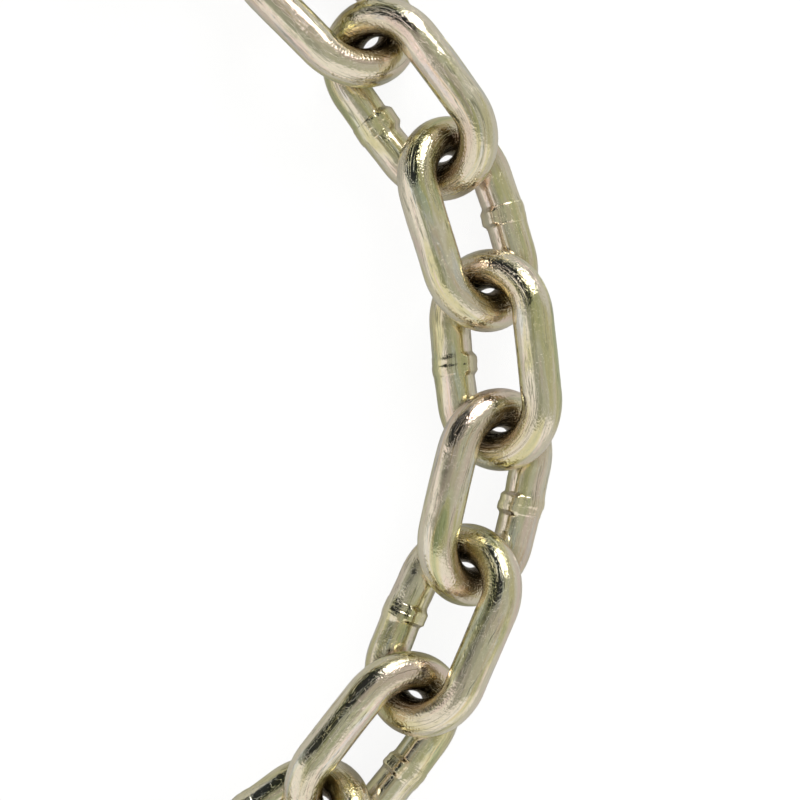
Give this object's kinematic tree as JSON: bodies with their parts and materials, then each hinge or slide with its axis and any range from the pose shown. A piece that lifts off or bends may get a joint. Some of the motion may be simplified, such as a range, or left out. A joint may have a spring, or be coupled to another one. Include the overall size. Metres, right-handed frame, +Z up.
{
  "type": "load binder chain",
  "caption": "Short length of welded steel load binder chain with a clevis grab hook pinned at each end, laid out in an open bow.",
  "frame": {"origin": "on the floor that the chain lies on, under the middle of its footprint", "axes": "+Z up from the floor, +Y across the open side of the bow, from the hook b arm to the hook a arm, +X towards the bulge of the bow"},
  "size_m": [0.3208, 0.4034, 0.0358],
  "materials": {
    "chain_steel": "heat-treated steel with a thin yellow zinc chromate coat, straw to olive with pink and blue iridescence",
    "hook_steel": "drop-forged steel with a thin yellow zinc chromate coat",
    "pin_steel": "turned steel with a thin yellow zinc chromate coat",
    "cotter_steel": "bright zinc-plated steel wire"
  },
  "bodies": {
    "link_01_body": {"link_01": "chain_steel"},
    "link_02_body": {"link_02": "chain_steel"},
    "link_03_body": {"link_03": "chain_steel"},
    "link_04_body": {"link_04": "chain_steel"},
    "link_05_body": {"link_05": "chain_steel"},
    "link_06_body": {"link_06": "chain_steel"},
    "link_07_body": {"link_07": "chain_steel"},
    "link_08_body": {"link_08": "chain_steel"},
    "link_09_body": {"link_09": "chain_steel"},
    "link_10_body": {"link_10": "chain_steel"},
    "link_11_body": {"link_11": "chain_steel"},
    "link_12_body": {"link_12": "chain_steel"},
    "link_13_body": {"link_13": "chain_steel"},
    "link_14_body": {"link_14": "chain_steel"},
    "link_15_body": {"link_15": "chain_steel"},
    "link_16_body": {"link_16": "chain_steel"},
    "link_17_body": {"link_17": "chain_steel"},
    "link_18_body": {"link_18": "chain_steel"},
    "hook_a_body": {"grab_hook_a": "hook_steel", "clevis_pin_a": "pin_steel", "cotter_pin_a": "cotter_steel"},
    "hook_b_body": {"grab_hook_b": "hook_steel", "clevis_pin_b": "pin_steel", "cotter_pin_b": "cotter_steel"}
  },
  "joints": [
    {"name": "swing_01", "type": "hinge", "parent": "link_02_body", "child": "link_01_body", "pos_m": [-0.03362, 0.15952, 0.01582], "axis": [-0.2097, -0.8577, 0.4695], "range_deg": [-93.8, 86.2]},
    {"name": "swing_02", "type": "hinge", "parent": "link_03_body", "child": "link_02_body", "pos_m": [-0.00244, 0.14779, 0.01428], "axis": [0.2904, 0.6841, 0.6691], "range_deg": [-91.4, 88.6]},
    {"name": "swing_03", "type": "hinge", "parent": "link_04_body", "child": "link_03_body", "pos_m": [0.02822, 0.13337, 0.0143], "axis": [0.3066, 0.6508, -0.6946], "range_deg": [-85.7, 94.3]},
    {"name": "swing_04", "type": "hinge", "parent": "link_05_body", "child": "link_04_body", "pos_m": [0.05716, 0.1158, 0.01337], "axis": [-0.3644, -0.5612, -0.7431], "range_deg": [-88.5, 91.5]},
    {"name": "swing_05", "type": "hinge", "parent": "link_06_body", "child": "link_05_body", "pos_m": [0.0849, 0.09635, 0.01314], "axis": [-0.3491, -0.5073, 0.7879], "range_deg": [-96.4, 83.6]},
    {"name": "swing_06", "type": "hinge", "parent": "link_07_body", "child": "link_06_body", "pos_m": [0.10955, 0.07359, 0.0122], "axis": [0.4056, 0.4056, 0.8192], "range_deg": [-99.3, 80.7]},
    {"name": "swing_07", "type": "hinge", "parent": "link_08_body", "child": "link_07_body", "pos_m": [0.12942, 0.04707, 0.01451], "axis": [0.4814, 0.2888, -0.8276], "range_deg": [-72.3, 107.7]},
    {"name": "swing_08", "type": "hinge", "parent": "link_09_body", "child": "link_08_body", "pos_m": [0.14067, 0.01538, 0.01321], "axis": [-0.6274, -0.1918, -0.7547], "range_deg": [-80.8, 99.2]},
    {"name": "swing_09", "type": "hinge", "parent": "link_10_body", "child": "link_09_body", "pos_m": [0.14546, -0.01801, 0.01488], "axis": [-0.5864, -0.0438, 0.8088], "range_deg": [-106.3, 73.7]},
    {"name": "swing_11", "type": "hinge", "parent": "link_10_body", "child": "link_11_body", "pos_m": [0.13555, -0.0646, 0.01416], "axis": [-0.542, 0.2275, 0.809], "range_deg": [-81.8, 98.2]},
    {"name": "swing_12", "type": "hinge", "parent": "link_11_body", "child": "link_12_body", "pos_m": [0.12077, -0.09469, 0.01272], "axis": [-0.4851, 0.379, -0.788], "range_deg": [-102, 78]},
    {"name": "swing_13", "type": "hinge", "parent": "link_12_body", "child": "link_13_body", "pos_m": [0.09848, -0.11999, 0.01426], "axis": [0.4019, -0.535, -0.7431], "range_deg": [-101.2, 78.8]},
    {"name": "swing_14", "type": "hinge", "parent": "link_13_body", "child": "link_14_body", "pos_m": [0.07075, -0.13936, 0.01321], "axis": [-0.2978, 0.5846, -0.7547], "range_deg": [-97.5, 82.5]},
    {"name": "swing_15", "type": "hinge", "parent": "link_14_body", "child": "link_15_body", "pos_m": [0.04023, -0.15407, 0.01386], "axis": [-0.2524, 0.648, 0.7186], "range_deg": [-89.7, 90.3]},
    {"name": "swing_16", "type": "hinge", "parent": "link_15_body", "child": "link_16_body", "pos_m": [0.00877, -0.16646, 0.01399], "axis": [0.1862, -0.6948, 0.6947], "range_deg": [-85.6, 94.4]},
    {"name": "swing_17", "type": "hinge", "parent": "link_16_body", "child": "link_17_body", "pos_m": [-0.02416, -0.17428, 0.01499], "axis": [-0.0966, 0.7392, 0.6665], "range_deg": [-91.8, 88.2]},
    {"name": "swing_18", "type": "hinge", "parent": "link_17_body", "child": "link_18_body", "pos_m": [-0.05696, -0.17947, 0.01599], "axis": [-0.0462, 0.8817, -0.4695], "range_deg": [-89.7, 90.3]},
    {"name": "hook_a_swing", "type": "hinge", "parent": "link_01_body", "child": "hook_a_body", "pos_m": [-0.05414, 0.16464, 0.016], "axis": [-0.2097, -0.8577, 0.4695], "range_deg": [-89.6, 90.4]},
    {"name": "hook_b_swing", "type": "hinge", "parent": "link_18_body", "child": "hook_b_body", "pos_m": [-0.07808, -0.18058, 0.01599], "axis": [0.0462, -0.8817, 0.4695], "range_deg": [-85.3, 94.7]}
  ]
}
